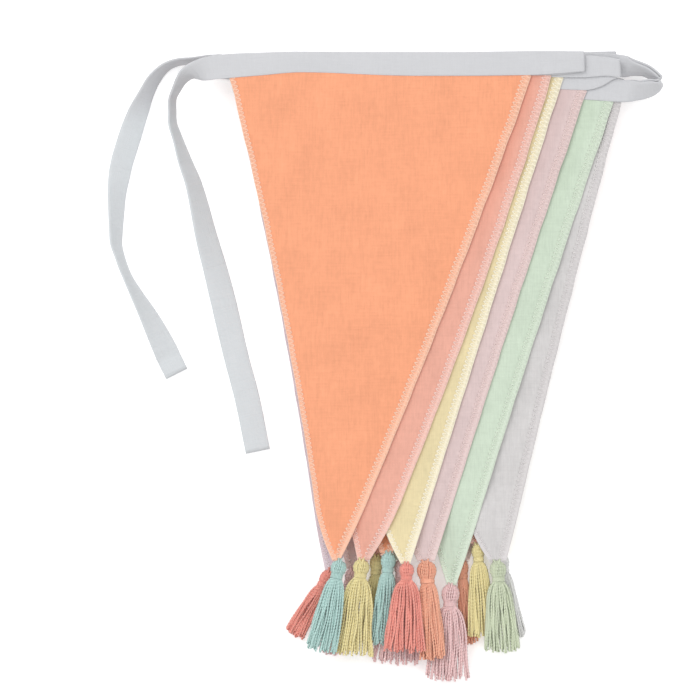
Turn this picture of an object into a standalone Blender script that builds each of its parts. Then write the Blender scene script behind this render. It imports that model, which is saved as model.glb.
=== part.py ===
"""Fabric bunting, folded: fourteen pennants on one folded tape, with a yarn tassel on each tip.

It lies on a surface. +X runs to the right of the folded stack, +Y from the tassels to the tape
and +Z up. The origin is on the surface, under the middle of the whole. Run 1 of the tape and
pennant 1 are on top, run 14 and pennant 14 lie on the surface. Tables are in millimetres.
"""
import math
from collections import namedtuple

import bmesh
import bpy
import numpy as np
from mathutils import Matrix, Vector

MM = 0.001
UP = Vector((0.0, 0.0, 1.0))
CLEAR = 0.35

# The tape, a binding folded double, and how its runs lie on each other
TAPE_WIDTH = 15.0
TAPE_THICK = 1.6
RUN_PITCH = 1.95
BARE_TAPE = 56.0
SECTION_STEP = 9.0
TWIST_STEP = 11.0
SECTIONS_PER_SPAN = 4
STRAIGHT_SPAN = 100.0
FOLD_STEPS = 5

# The pennants
CLOTH_THICK = 1.0
ROWS_DOWN = 13
ROW_CROWDING = 1.25
TIP_START = 0.93
CELLS_ACROSS = 5
SAG = 0.5
SETTLE_ROUNDS = 60

# The tassels
HEAD_HEIGHT = 6.4
NECK_SHARE = 0.62
NECK_HEIGHT = 3.3
NECK_LENGTH = 2.2
SKIRT_FLARE = 9.0
SHOULDER_SHARE = 0.5
SHOULDER_REACH = 0.08
LOCKS_ACROSS = 5
LOCKS_HIGH = 3
LOCK_WIDTH = 2.1
LOCK_HEIGHT = 0.75
LOCK_PITCH = 1.05
LOCK_SHARE = 0.72
ROOT_SHARE = 0.76

# The height map of all that has been laid so far
CELL = 1.25
MAP_LOW = (-190.0, -215.0)
MAP_CELLS = (310, 345)

# Tip_width is the width of the cut tip. The two sides would reach the tip's height at the shoulders,
# and turn in to the tip over its last part. Left_y and right_y place the middle of the tape's run
# above the two top corners.
Cloth = namedtuple(
    "Cloth",
    "left_x right_x left_y right_y tip_x tip_y tip_width"
    " left_shoulder right_shoulder bow_left bow_right colour",
)
PENNANTS = (
    Cloth(-96.7, 91.2, 188.4, 190.1, -30.6, -120.6, 4.0, 7.8, 3.4, 4.5, 3.0, "orange"),
    Cloth(-82.5, 103.8, 187.8, 190.0, -13.4, -120.3, 6.9, 4.0, 7.8, 3.0, 4.5, "salmon"),
    Cloth(-75.2, 111.0, 187.8, 188.8, 12.8, -122.6, 5.2, 8.6, 2.8, 2.0, 0.0, "cream"),
    Cloth(-60.6, 125.6, 187.8, 180.6, 25.6, -121.2, 10.0, 9.0, 5.2, 2.0, -1.0, "rose"),
    Cloth(-43.8, 142.5, 187.2, 173.6, 41.6, -135.9, 5.0, 3.6, 3.4, 0.0, -1.5, "mint"),
    Cloth(-38.8, 147.5, 187.2, 173.2, 70.3, -121.2, 10.0, 10.6, 5.8, 0.0, -1.5, "pearl"),
    Cloth(-50.0, 136.2, 187.6, 188.9, 0.6, -115.9, 7.0, 6.0, 6.0, 0.0, 0.0, "orange"),
    Cloth(-46.2, 140.0, 187.6, 188.7, 57.5, -110.3, 7.0, 6.0, 6.0, 0.0, 0.0, "salmon"),
    Cloth(-68.8, 117.5, 187.6, 189.4, 72.5, -117.2, 7.0, 6.0, 6.0, 0.0, 0.0, "cream"),
    Cloth(-64.0, 122.3, 187.6, 189.4, 48.8, -120.3, 7.0, 6.0, 6.0, 0.0, 0.0, "rose"),
    Cloth(-68.8, 117.5, 187.6, 189.2, 10.6, -120.3, 7.0, 6.0, 6.0, 0.0, 0.0, "mint"),
    Cloth(-68.0, 118.2, 187.6, 189.2, -5.0, -117.5, 7.0, 6.0, 6.0, 0.0, 0.0, "salmon"),
    Cloth(-66.0, 120.2, 187.6, 189.2, -20.0, -126.0, 7.0, 6.0, 6.0, 0.0, 0.0, "rose"),
    Cloth(-95.5, 90.8, 187.4, 188.9, -34.0, -127.0, 6.0, 4.6, 5.6, 3.6, 0.0, "lilac"),
)

# Hang is how far to the right of the middle of its tip a tassel hangs
Yarn = namedtuple("Yarn", "head_width head_length hang end_x end_y spread colour")
TASSELS = (
    Yarn(9.5, 10.0, 2.6, -40.8, -177.8, 20.0, "yarn_aqua"),
    Yarn(10.0, 10.0, -1.0, -20.8, -180.3, 26.0, "yarn_straw"),
    Yarn(9.0, 9.0, 0.8, 12.0, -178.4, 26.0, "yarn_coral"),
    Yarn(12.0, 12.5, 0.0, 30.0, -182.8, 17.0, "yarn_apricot"),
    Yarn(11.0, 12.5, -0.5, 39.1, -195.9, 28.0, "yarn_mauve"),
    Yarn(10.0, 11.5, 0.0, 73.3, -178.4, 23.0, "yarn_sage"),
    Yarn(9.0, 11.0, 1.8, -1.5, -174.1, 15.5, "yarn_aqua"),
    Yarn(8.0, 10.0, 0.3, 61.5, -169.1, 18.0, "yarn_straw"),
    Yarn(8.0, 10.0, 0.0, 82.0, -169.5, 12.0, "yarn_stone"),
    Yarn(8.0, 10.5, -1.2, 52.2, -173.4, 9.0, "yarn_apricot"),
    Yarn(9.0, 10.0, 0.0, 6.9, -186.0, 30.0, "yarn_mauve"),
    Yarn(8.0, 11.0, 0.0, -9.0, -172.0, 14.0, "yarn_straw"),
    Yarn(7.5, 9.0, 0.0, -34.4, -179.7, 14.0, "yarn_mauve"),
    Yarn(8.0, 10.0, 0.0, -57.2, -167.8, 14.0, "yarn_coral"),
)

# One row for each place along the tape. Roll 0 lies flat and 90 stands on edge, and clear is the
# height of the tape's lowest edge above the surface.
Place = namedtuple("Place", "x y width roll clear")
Reach = namedtuple("Reach", "x y width roll")
TOP_TIE = (
    Place(-79.5, -52.5, 15.4, 0.0, 0.0),
    Place(-86.2, -19.7, 15.6, 0.0, 0.0),
    Place(-93.0, 5.9, 15.4, 0.0, 0.0),
    Place(-101.3, 42.2, 15.8, 8.0, 0.0),
    Place(-106.1, 60.9, 15.6, 18.0, 0.0),
    Place(-111.3, 79.7, 15.6, 31.0, 0.0),
    Place(-119.6, 114.1, 15.2, 50.0, 0.0),
    Place(-125.5, 129.7, 15.0, 58.0, 0.0),
    Place(-129.5, 142.2, 15.0, 68.0, 0.5),
    Place(-133.1, 154.7, 15.0, 73.0, 2.2),
    Place(-133.1, 165.3, 15.0, 75.0, 5.3),
    Place(-129.4, 175.3, 15.0, 72.0, 9.6),
    Place(-124.4, 181.9, 15.0, 62.0, 14.4),
    Place(-116.9, 185.4, 15.0, 32.0, 21.4),
    Place(-108.1, 187.2, 15.0, 5.0, 25.2),
)
LOW_TIE = (
    Place(-103.8, 188.6, 15.0, 8.0, 0.0),
    Place(-112.5, 190.9, 15.0, 55.0, 0.0),
    Place(-125.6, 191.4, 15.0, 76.0, 0.0),
    Place(-134.8, 189.1, 15.0, 72.0, 0.0),
    Place(-144.0, 180.9, 15.0, 60.0, 0.0),
    Place(-149.7, 170.6, 15.0, 52.0, 0.0),
    Place(-154.7, 159.1, 15.2, 35.0, 0.0),
    Place(-160.4, 142.2, 15.4, 25.0, 0.0),
    Place(-165.6, 123.4, 15.2, 28.0, 0.0),
    Place(-167.9, 105.9, 15.0, 45.0, 0.0),
    Place(-168.4, 79.7, 15.0, 62.0, 0.0),
    Place(-165.6, 68.4, 15.0, 70.0, 0.0),
    Place(-161.9, 58.4, 15.0, 71.0, 0.0),
    Place(-155.2, 45.3, 15.0, 61.0, 0.0),
    Place(-147.3, 30.9, 15.0, 42.0, 0.0),
    Place(-138.4, 12.8, 15.2, 16.0, 0.0),
    Place(-134.6, 4.7, 15.0, 0.0, 0.0),
    Place(-130.2, -4.1, 14.8, 0.0, 0.0),
)

# Where a run bends between the two corners of its pennant, by the run's number
BENDS = {
    1: (
        Reach(-78.0, 189.5, 14.2, 0.0),
        Reach(-53.0, 190.7, 13.0, 0.0),
        Reach(21.9, 189.6, 15.0, 0.0),
    ),
}

# Where each pair of runs goes between its pennants and the fold at the right. Where a pair has no
# return rows, the lower run follows close under the upper one.
RIGHT_ENDS = (
    ((Reach(123.0, 191.1, 12.8, 0.0),), ()),
    (
        (Reach(125.0, 188.3, 14.0, 0.0), Reach(137.0, 188.2, 12.0, 0.0), Reach(145.5, 187.0, 11.0, 0.0)),
        (Reach(145.5, 187.0, 11.0, 0.0), Reach(139.5, 185.0, 12.0, 0.0), Reach(132.5, 182.0, 14.0, 0.0)),
    ),
    (
        (
            Reach(150.0, 172.7, 13.8, 0.0),
            Reach(158.4, 172.7, 13.8, 36.0),
            Reach(165.9, 174.2, 13.8, 47.0),
            Reach(170.4, 175.7, 12.8, 63.0),
            Reach(171.9, 176.8, 12.0, 73.0),
        ),
        (),
    ),
    (
        (
            Reach(147.5, 188.3, 14.0, 0.0),
            Reach(151.5, 187.3, 13.2, 28.0),
            Reach(155.6, 186.6, 12.3, 48.0),
            Reach(162.5, 184.9, 11.5, 60.0),
            Reach(167.6, 181.6, 11.0, 64.0),
            Reach(169.8, 179.6, 11.0, 66.0),
        ),
        (),
    ),
    ((Reach(143.0, 190.2, 15.0, 0.0),), ()),
    ((Reach(126.0, 189.4, 15.0, 0.0),), ()),
    ((Reach(128.0, 189.4, 15.0, 0.0),), ()),
)

Section = namedtuple("Section", "centre run across width")

COLOURS = {
    "tape": (0.672, 0.721, 0.752),
    "orange": (0.984, 0.407, 0.238),
    "salmon": (0.831, 0.352, 0.270),
    "cream": (0.855, 0.761, 0.428),
    "rose": (0.730, 0.578, 0.597),
    "mint": (0.597, 0.761, 0.597),
    "pearl": (0.738, 0.745, 0.768),
    "lilac": (0.752, 0.658, 0.745),
    "yarn_aqua": (0.402, 0.645, 0.610),
    "yarn_straw": (0.775, 0.680, 0.352),
    "yarn_coral": (0.956, 0.305, 0.262),
    "yarn_apricot": (0.956, 0.352, 0.205),
    "yarn_mauve": (0.716, 0.546, 0.610),
    "yarn_sage": (0.546, 0.680, 0.456),
    "yarn_stone": (0.610, 0.610, 0.560),
}
ROUGHNESS = 0.95


class HeightMap:
    """The highest point laid so far over each cell of the surface."""

    def __init__(self):
        self.top = np.zeros(MAP_CELLS)

    def cells(self, points):
        index = np.floor((points - np.array(MAP_LOW)) / CELL).astype(int)
        return index[:, 0], index[:, 1]

    def stamp(self, points, height):
        np.maximum.at(self.top, self.cells(points), height)

    def rest(self, points):
        """The height at which something over these points clears all that is under it."""
        column, row = self.cells(points)
        peak = max(
            self.top[column + across, row + along].max()
            for across in (-1, 0, 1)
            for along in (-1, 0, 1)
        )
        return peak + CLEAR if peak > 0.0 else 0.0


def patch_values(values, corners):
    """Four corner values spread evenly over the four-sided patch, less than a cell apart."""
    a, b, c, d = (np.array(corner[:2]) for corner in corners)
    reach = max(np.linalg.norm(b - a), np.linalg.norm(c - d), np.linalg.norm(d - a), np.linalg.norm(c - b))
    steps = int(math.ceil(reach / (0.8 * CELL))) + 1
    u, v = (axis.ravel() for axis in np.meshgrid(*[np.linspace(0.0, 1.0, steps)] * 2))
    first, second, third, fourth = values
    return (1 - u) * (1 - v) * first + u * (1 - v) * second + u * v * third + (1 - u) * v * fourth


def patch_points(corners):
    """Points less than a cell apart over the four-sided patch."""
    return np.stack([patch_values([corner[axis] for corner in corners], corners) for axis in (0, 1)], axis=1)


def smooth_rows(rows):
    """Points on a smooth curve through the rows. No column overshoots between two rows."""
    table = np.array(rows, dtype=float)
    chord = np.linalg.norm(np.diff(table[:, :2], axis=0), axis=1)
    slope = np.diff(table, axis=0) / chord[:, None]
    before, after = slope[:-1], slope[1:]
    steady = before * after > 0.0
    inner = np.where(steady, 2 * before * after / np.where(steady, before + after, 1.0), 0.0)
    tangent = np.vstack([slope[:1], inner, slope[-1:]])
    points = [table[0]]
    for i, length in enumerate(chord):
        twist = abs(table[i + 1, 3] - table[i, 3])
        count = min(SECTIONS_PER_SPAN, max(1, round(length / SECTION_STEP), math.ceil(twist / TWIST_STEP)))
        if length > STRAIGHT_SPAN:
            count = 1
        for t in np.arange(1, count + 1) / count:
            points.append(
                (2 * t**3 - 3 * t**2 + 1) * table[i]
                + (t**3 - 2 * t**2 + t) * length * tangent[i]
                + (3 * t**2 - 2 * t**3) * table[i + 1]
                + (t**3 - t**2) * length * tangent[i + 1]
            )
    return points


def half_height(width, roll):
    """Half the height of the tape's cross-section when it is rolled by some degrees."""
    tilt = math.radians(roll)
    return 0.5 * (width * math.sin(tilt) + TAPE_THICK * math.cos(tilt))


def lay_tape(rows, turn):
    """Sections of the tape along rows of places. Turn is 1 where the runs go right, -1 to the left."""
    points = smooth_rows(rows)
    centres = []
    for x, y, width, roll, clear in points:
        centres.append(Vector((x, y, clear + half_height(width, roll))))
    sections = []
    for i, (x, y, width, roll, clear) in enumerate(points):
        run = (centres[min(i + 1, len(centres) - 1)] - centres[max(i - 1, 0)]).normalized()
        sideways = Vector((-run.y, run.x, 0.0)).normalized() * turn
        tilt = math.radians(roll)
        across = sideways * math.cos(tilt) + UP * math.sin(tilt)
        across = (across - run * across.dot(run)).normalized()
        sections.append(Section(centres[i], run, across, width))
    return sections


def fold_tape(last, following):
    """Sections round a fold, from the last section of a run to the first of the run under it.

    All of them lie along the line of the fold, which is slanted where the lower run turns away.
    """
    half_drop = (last.centre - following.centre) / 2
    hub = (last.centre + following.centre) / 2
    down = half_drop.normalized()
    reach = last.run - following.run
    reach = (reach - down * reach.dot(down)).normalized() * half_drop.length
    line = down.cross(reach).normalized()
    if line.dot(last.across) < 0.0:
        line = -line
    first_width = last.width / line.dot(last.across)
    last_width = following.width / line.dot(following.across)
    sections = []
    for step in range(FOLD_STEPS + 1):
        share = step / FOLD_STEPS
        over, out = math.cos(math.pi * share), math.sin(math.pi * share)
        run = (over * reach - out * half_drop).normalized()
        width = first_width + (last_width - first_width) * share
        sections.append(Section(hub + over * half_drop + out * reach, run, line, width))
    return sections


def run_clear(number):
    """The height of the underside of a run of the tape."""
    return RUN_PITCH * (len(PENNANTS) - number)


def reach_place(reach, number):
    """A place past the pennants on a run, where the tape rolls about its own middle."""
    middle = run_clear(number) + TAPE_THICK / 2
    return Place(*reach, middle - half_height(reach.width, reach.roll))


def follow_under(sections):
    """The sections of a run that goes back close under the sections of another."""
    return [
        Section(s.centre - s.run.cross(s.across) * RUN_PITCH, -s.run, s.across, s.width)
        for s in reversed(sections)
    ]


def left_fold(number):
    """Where the tape folds at the left, under run number and over the next one."""
    upper, lower = PENNANTS[number - 1], PENNANTS[number]
    return (upper.left_x + lower.left_x - BARE_TAPE) / 2, (upper.left_y + lower.left_y) / 2


def corner_places(number):
    """The places of the tape over the left and right corners of a pennant."""
    cloth = PENNANTS[number - 1]
    clear = run_clear(number)
    return [
        Place(cloth.left_x, cloth.left_y, TAPE_WIDTH, 0.0, clear),
        Place(cloth.right_x, cloth.right_y, TAPE_WIDTH, 0.0, clear),
    ]


def tape_runs():
    """The sections of each run of the tape, the ties with the first and last run."""
    runs = []
    for pair, (going, coming) in enumerate(RIGHT_ENDS):
        upper = 2 * pair + 1
        lower = upper + 1
        clear = run_clear(upper)
        start = list(TOP_TIE) if upper == 1 else [Place(*left_fold(upper - 1), TAPE_WIDTH, 0.0, clear)]
        left, right = corner_places(upper)
        bends = [reach_place(reach, upper) for reach in BENDS.get(upper, ())]
        ends = [reach_place(reach, upper) for reach in going]
        runs.append(lay_tape(start + [left] + bends + [right] + ends, 1))
        back = [reach_place(reach, lower) for reach in coming or going[:1]]
        left, right = corner_places(lower)
        last_places = LOW_TIE
        if lower < len(PENNANTS):
            last_places = (Place(*left_fold(lower), TAPE_WIDTH, 0.0, run_clear(lower)),)
        run = lay_tape(back + [right, left] + list(last_places), -1)
        if not coming:
            past = [s for s in runs[-1] if s.centre.x > going[0].x - CLEAR]
            run[:1] = follow_under(past)
        runs.append(run)
    return runs


def whole_tape(runs):
    """All sections of the tape from the end of one tie to the end of the other."""
    sections = runs[0][:-1]
    for upper, lower in zip(runs, runs[1:]):
        sections += fold_tape(upper[-1], lower[0]) + lower[1:-1]
    return sections + runs[-1][-1:]


def section_corners(section):
    """The four corners of the tape's cross-section."""
    normal = section.run.cross(section.across)
    half_width = section.across * section.width / 2
    half_thick = normal * TAPE_THICK / 2
    return [
        section.centre - half_width - half_thick,
        section.centre + half_width - half_thick,
        section.centre + half_width + half_thick,
        section.centre - half_width + half_thick,
    ]


def stamp_tape(height, sections):
    for first, second in zip(sections, sections[1:]):
        a, b = section_corners(first), section_corners(second)
        top = max(corner.z for corner in a + b)
        height.stamp(patch_points((a[0], a[1], b[1], b[0])), top)


def lower_edge(sections, x):
    """The y of the tape's lower edge over x, along one run."""
    edge = sorted((s.centre - s.across * s.width / 2).to_tuple() for s in sections if abs(s.across.y) > 0.95)
    return float(np.interp(x, [p[0] for p in edge], [p[1] for p in edge]))


def pennant_plan(cloth, sections):
    """The sheet's points seen from above, rows down from the tape and columns to the right."""
    tip = Vector((cloth.tip_x, cloth.tip_y))
    plan = np.zeros((ROWS_DOWN + 1, CELLS_ACROSS + 1, 2))
    for row in range(ROWS_DOWN + 1):
        down = 1 - (1 - row / ROWS_DOWN) ** ROW_CROWDING
        bow = 4 * down * (1 - down)
        cut = max(0.0, (down - TIP_START) / (1 - TIP_START))
        for column in range(CELLS_ACROSS + 1):
            over = column / CELLS_ACROSS
            top_x = cloth.left_x + (cloth.right_x - cloth.left_x) * over
            top = Vector((top_x, lower_edge(sections, top_x) - CLEAR))
            shoulder = cloth.right_shoulder * over - cloth.left_shoulder * (1 - over)
            point = top.lerp(tip + Vector((shoulder, 0.0)), down)
            point.x += bow * (cloth.bow_left * (1 - over) + cloth.bow_right * over)
            point.x += cut * ((over - 0.5) * cloth.tip_width - shoulder)
            plan[row, column] = point
    return plan


def drape(plan, height, top_z, tip_z):
    """The underside of a sheet that is held at its top and tip and sags onto all that is under it."""
    bed = np.zeros(plan.shape[:2])
    for row in range(ROWS_DOWN):
        for column in range(CELLS_ACROSS):
            corners = (
                plan[row, column],
                plan[row, column + 1],
                plan[row + 1, column + 1],
                plan[row + 1, column],
            )
            rest = height.rest(patch_points(corners))
            block = bed[row : row + 2, column : column + 2]
            np.maximum(block, rest, out=block)
    sheet = bed.copy()
    sheet[0] = np.maximum(sheet[0], top_z)
    sheet[-1] = np.maximum(sheet[-1], tip_z)
    for _ in range(SETTLE_ROUNDS):
        padded = np.pad(sheet, 1, mode="edge")
        mean = (padded[:-2, 1:-1] + padded[2:, 1:-1] + padded[1:-1, :-2] + padded[1:-1, 2:]) / 4
        sheet[1:-1] = np.maximum(bed, mean - SAG)[1:-1]
    return sheet


def stamp_sheet(height, plan, sheet):
    for row in range(ROWS_DOWN):
        for column in range(CELLS_ACROSS):
            corners = (
                plan[row, column],
                plan[row, column + 1],
                plan[row + 1, column + 1],
                plan[row + 1, column],
            )
            block = sheet[row : row + 2, column : column + 2] + CLOTH_THICK
            rises = (block[0, 0], block[0, 1], block[1, 1], block[1, 0])
            height.stamp(patch_points(corners), patch_values(rises, corners))


class Tassel:
    """One tassel: its plan from the pennant's tip to the ends of its strands, and its heights."""

    def __init__(self, yarn, cloth):
        self.yarn = yarn
        tip = Vector((cloth.tip_x + yarn.hang, cloth.tip_y, 0.0))
        end = Vector((yarn.end_x, yarn.end_y, 0.0))
        self.along = (end - tip).normalized()
        self.across = Vector((-self.along.y, self.along.x, 0.0))
        drop = CLEAR / abs(self.along.y) + yarn.head_width * 0.15 * abs(self.along.x)
        self.crown = tip + self.along * drop
        self.neck = self.crown + self.along * (yarn.head_length + NECK_LENGTH)
        self.length = (end - self.neck).length
        self.neck_width = yarn.head_width * NECK_SHARE
        self.head_z = HEAD_HEIGHT / 2
        self.skirt_z = 0.0

    def patch(self, start, finish, start_width, finish_width):
        """Points over a tapered stretch, start and finish being measured along from the neck."""
        a = self.neck + self.along * start
        b = self.neck + self.along * finish
        left, right = self.across * -0.5, self.across * 0.5
        corners = (
            a + left * start_width,
            a + right * start_width,
            b + right * finish_width,
            b + left * finish_width,
        )
        return patch_points([corner.to_tuple() for corner in corners])

    def spread_at(self, distance):
        """The skirt's width at a distance from the neck."""
        share = distance / self.length
        opened = SHOULDER_SHARE * (1 - math.exp(-share / SHOULDER_REACH)) + (1 - SHOULDER_SHARE) * share
        return self.neck_width + (self.yarn.spread - self.neck_width) * opened

    def patches(self):
        wide = self.yarn.head_width
        flare_width = self.spread_at(SKIRT_FLARE)
        head = self.patch(-self.yarn.head_length - NECK_LENGTH, 0.0, wide, wide)
        flare = self.patch(0.0, SKIRT_FLARE, self.neck_width, flare_width + LOCK_WIDTH / 3)
        end_width = self.yarn.spread + LOCK_WIDTH / 3
        ends = self.patch(SKIRT_FLARE, self.length, flare_width + LOCK_WIDTH / 3, end_width)
        return head, flare, ends

    def settle(self, height):
        head, flare, ends = self.patches()
        self.skirt_z = max(height.rest(flare), height.rest(ends))
        self.head_z = max(height.rest(head) + HEAD_HEIGHT / 2, self.skirt_z + NECK_HEIGHT / 2)

    def stamp(self, height):
        head, flare, ends = self.patches()
        skirt_top = self.skirt_z + LOCK_PITCH * LOCKS_HIGH
        height.stamp(head, self.head_z + HEAD_HEIGHT / 2)
        height.stamp(flare, max(skirt_top, self.head_z + NECK_HEIGHT / 2))
        height.stamp(ends, skirt_top)


def disc_place(u, v):
    """A point of the square from -1 to 1, moved into the round disc that touches its sides."""
    return u * math.sqrt(1 - v * v / 2), v * math.sqrt(1 - u * u / 2)


def rim_steps():
    """The grid steps round the edge of the neck, once round."""
    wide, high = LOCKS_ACROSS, LOCKS_HIGH
    steps = [(i, 0) for i in range(wide)]
    steps += [(wide, j) for j in range(high)]
    steps += [(i, high) for i in range(wide, 0, -1)]
    steps += [(0, j) for j in range(high, 0, -1)]
    return steps


def tassel_mesh(tassel):
    """The head, the bound neck and the locks, which grow out of the cells of the neck's lower face."""
    yarn = tassel.yarn
    mesh = bmesh.new()
    head_profile = (
        # share of the head's length, share of its width
        (0.00, 0.34),
        (0.16, 0.76),
        (0.45, 1.00),
        (0.80, 0.86),
        (1.00, NECK_SHARE),
    )

    def ring_point(centre, step, width, tall):
        u, v = disc_place(2 * step[0] / LOCKS_ACROSS - 1, 2 * step[1] / LOCKS_HIGH - 1)
        return centre + tassel.across * (u * width / 2) + UP * (v * tall / 2)

    lift = UP * tassel.head_z
    neck_centre = tassel.neck + lift
    rings = []
    for share, swell in head_profile:
        centre = tassel.crown + lift + tassel.along * (yarn.head_length * share)
        tall = NECK_HEIGHT if share == 1.0 else HEAD_HEIGHT * swell
        ring = [ring_point(centre, step, yarn.head_width * swell, tall) for step in rim_steps()]
        rings.append([mesh.verts.new(point * MM) for point in ring])
    grid = {}
    for i in range(LOCKS_ACROSS + 1):
        for j in range(LOCKS_HIGH + 1):
            point = ring_point(neck_centre, (i, j), tassel.neck_width, NECK_HEIGHT)
            grid[i, j] = mesh.verts.new(point * MM)
    rings.append([grid[step] for step in rim_steps()])

    mesh.faces.new(rings[0])
    for first, second in zip(rings, rings[1:]):
        for i in range(len(first)):
            j = (i + 1) % len(first)
            mesh.faces.new((first[i], first[j], second[j], second[i]))

    for i in range(LOCKS_ACROSS):
        for j in range(LOCKS_HIGH):
            cell = [grid[i, j], grid[i + 1, j], grid[i + 1, j + 1], grid[i, j + 1]]
            middle = sum((vert.co for vert in cell), Vector()) / 4
            root = [mesh.verts.new(middle.lerp(vert.co, ROOT_SHARE)) for vert in cell]
            join(mesh, cell, root)
            grow_lock(mesh, tassel, root, i, j)
    return mesh


def join(mesh, first, second):
    """Four faces between two rings of four points."""
    for i in range(4):
        j = (i + 1) % 4
        mesh.faces.new((first[i], first[j], second[j], second[i]))


def grow_lock(mesh, tassel, root, i, j):
    """One lock of strands, from its root at the neck to its cut end."""
    stagger = (j - (LOCKS_HIGH - 1) / 2) / (LOCKS_HIGH * LOCKS_ACROSS)
    place = (i + 0.5) / LOCKS_ACROSS - 0.5 + stagger
    uneven = math.sin(5.1 * i + 2.3 * j + tassel.yarn.end_x)
    ring = root
    for distance in (SKIRT_FLARE, tassel.length - 1.0 + uneven):
        spread = tassel.spread_at(min(distance, tassel.length))
        lock_width = min(LOCK_WIDTH, LOCK_SHARE * spread / LOCKS_ACROSS)
        low = tassel.skirt_z + LOCK_PITCH * j
        centre = tassel.neck + tassel.along * distance + tassel.across * (place * spread)
        corners = ((-0.5, 0.0), (0.5, 0.0), (0.5, 1.0), (-0.5, 1.0))
        points = [
            centre + tassel.across * (side * lock_width) + UP * (low + high * LOCK_HEIGHT)
            for side, high in corners
        ]
        following = [mesh.verts.new(point * MM) for point in points]
        join(mesh, ring, following)
        ring = following
    mesh.faces.new(ring)


def sheet_mesh(plan, sheet):
    """A closed sheet of cloth over the plan's points."""
    mesh = bmesh.new()
    rows, columns = sheet.shape
    layers = []
    for rise in (0.0, CLOTH_THICK):
        layers.append(
            [
                [mesh.verts.new(Vector((*plan[r, c], sheet[r, c] + rise)) * MM) for c in range(columns)]
                for r in range(rows)
            ]
        )
    for layer in layers:
        for r in range(rows - 1):
            for c in range(columns - 1):
                mesh.faces.new((layer[r][c], layer[r][c + 1], layer[r + 1][c + 1], layer[r + 1][c]))
    rim = [(0, c) for c in range(columns)]
    rim += [(r, columns - 1) for r in range(1, rows)]
    rim += [(rows - 1, c) for c in range(columns - 2, -1, -1)]
    rim += [(r, 0) for r in range(rows - 2, 0, -1)]
    low, high = layers
    for (r, c), (s, d) in zip(rim, rim[1:] + rim[:1]):
        mesh.faces.new((low[r][c], low[s][d], high[s][d], high[r][c]))
    return mesh


def tape_mesh(sections):
    """The whole tape as one closed strip."""
    mesh = bmesh.new()
    rings = [[mesh.verts.new(corner * MM) for corner in section_corners(s)] for s in sections]
    for first, second in zip(rings, rings[1:]):
        join(mesh, first, second)
    mesh.faces.new(rings[0])
    mesh.faces.new(rings[-1])
    return mesh


def material(name):
    """A plain material of the named colour, made once."""
    made = bpy.data.materials.get(name)
    if made is None:
        made = bpy.data.materials.new(name)
        made.use_nodes = True
        shader = made.node_tree.nodes["Principled BSDF"]
        shader.inputs["Base Color"].default_value = (*COLOURS[name], 1.0)
        shader.inputs["Roughness"].default_value = ROUGHNESS
        shader.inputs["Metallic"].default_value = 0.0
    return made


def add_piece(name, mesh, colour):
    """Put a finished mesh into the scene under its own name."""
    bmesh.ops.triangulate(mesh, faces=mesh.faces)
    bmesh.ops.recalc_face_normals(mesh, faces=mesh.faces)
    data = bpy.data.meshes.new(name)
    mesh.to_mesh(data)
    mesh.free()
    data.materials.append(material(colour))
    bpy.context.scene.collection.objects.link(bpy.data.objects.new(name, data))


def centre_all():
    """Move all pieces so that the origin is under the middle of the whole."""
    meshes = [piece.data for piece in bpy.data.objects]
    points = np.array([vert.co for mesh in meshes for vert in mesh.vertices])
    middle = (points.min(axis=0) + points.max(axis=0)) / 2
    for mesh in meshes:
        mesh.transform(Matrix.Translation((-middle[0], -middle[1], 0.0)))


def main():
    for old in list(bpy.data.objects):
        bpy.data.objects.remove(old, do_unlink=True)
    runs = tape_runs()
    add_piece("tape", tape_mesh(whole_tape(runs)), "tape")
    height = HeightMap()
    for number in range(len(PENNANTS), 0, -1):
        cloth, yarn, run = PENNANTS[number - 1], TASSELS[number - 1], runs[number - 1]
        tassel = Tassel(yarn, cloth)
        tassel.settle(height)
        plan = pennant_plan(cloth, run)
        sheet = drape(plan, height, run_clear(number), tassel.head_z - CLOTH_THICK / 2)
        tassel.head_z = sheet[-1].max() + CLOTH_THICK / 2
        add_piece(f"pennant_{number:02d}", sheet_mesh(plan, sheet), cloth.colour)
        add_piece(f"tassel_{number:02d}", tassel_mesh(tassel), yarn.colour)
        stamp_sheet(height, plan, sheet)
        stamp_tape(height, run)
        tassel.stamp(height)
    centre_all()


main()
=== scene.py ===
"""Looks of the folded fabric bunting: thin cloth, overlocked edges, folded tape and twisted yarn.

The tape's way and the pennants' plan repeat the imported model's sizes, in millimetres. Heights are
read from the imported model, so each piece lies where its solid lies.
"""
import math
from collections import namedtuple

import bpy
import numpy as np
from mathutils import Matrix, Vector


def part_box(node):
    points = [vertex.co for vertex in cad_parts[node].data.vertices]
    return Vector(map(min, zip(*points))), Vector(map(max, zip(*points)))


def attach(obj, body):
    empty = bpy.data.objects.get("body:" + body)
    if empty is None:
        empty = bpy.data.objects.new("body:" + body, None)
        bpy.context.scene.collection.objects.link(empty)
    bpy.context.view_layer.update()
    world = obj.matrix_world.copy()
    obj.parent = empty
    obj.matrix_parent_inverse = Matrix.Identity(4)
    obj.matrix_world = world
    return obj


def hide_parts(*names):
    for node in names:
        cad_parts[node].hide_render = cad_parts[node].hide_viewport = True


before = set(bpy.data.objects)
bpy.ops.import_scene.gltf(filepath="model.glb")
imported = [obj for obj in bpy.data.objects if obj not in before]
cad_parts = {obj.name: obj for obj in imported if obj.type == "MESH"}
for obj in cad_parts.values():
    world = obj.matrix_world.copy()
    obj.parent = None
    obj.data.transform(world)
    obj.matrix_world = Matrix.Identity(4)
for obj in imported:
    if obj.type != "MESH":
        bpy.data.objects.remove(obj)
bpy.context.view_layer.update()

MM = 0.001
UP = Vector((0.0, 0.0, 1.0))
CLEAR = 0.35

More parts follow.
